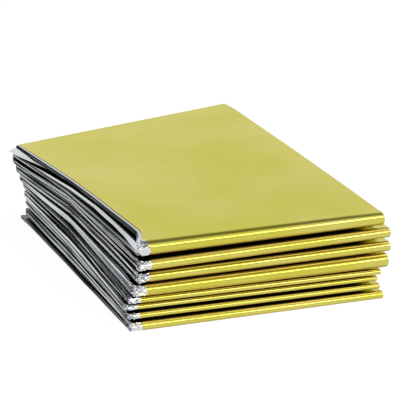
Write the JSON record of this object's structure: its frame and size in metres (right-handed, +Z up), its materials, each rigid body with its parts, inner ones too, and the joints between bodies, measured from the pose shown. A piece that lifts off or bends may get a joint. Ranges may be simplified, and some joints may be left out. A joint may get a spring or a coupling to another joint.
{
  "type": "folded emergency foil blanket",
  "caption": "Metallised film rescue blanket, gold on one face and silver on the other, folded back and forth into a flat pocket-sized pack with uneven folded edges.",
  "frame": {"origin": "middle of the folded pack's underside", "axes": "+X across the pack, from the open side with the silver folds to the closed side; +Y along its depth, from the front folds to the back; +Z up through the layers"},
  "size_m": [0.0976, 0.1212, 0.0412],
  "materials": {
    "gold_silver_film": "thin metallised film, glossy gold on one face and glossy silver on the other"
  },
  "bodies": {
    "root": {"foil_blanket": "gold_silver_film"}
  },
  "joints": []
}
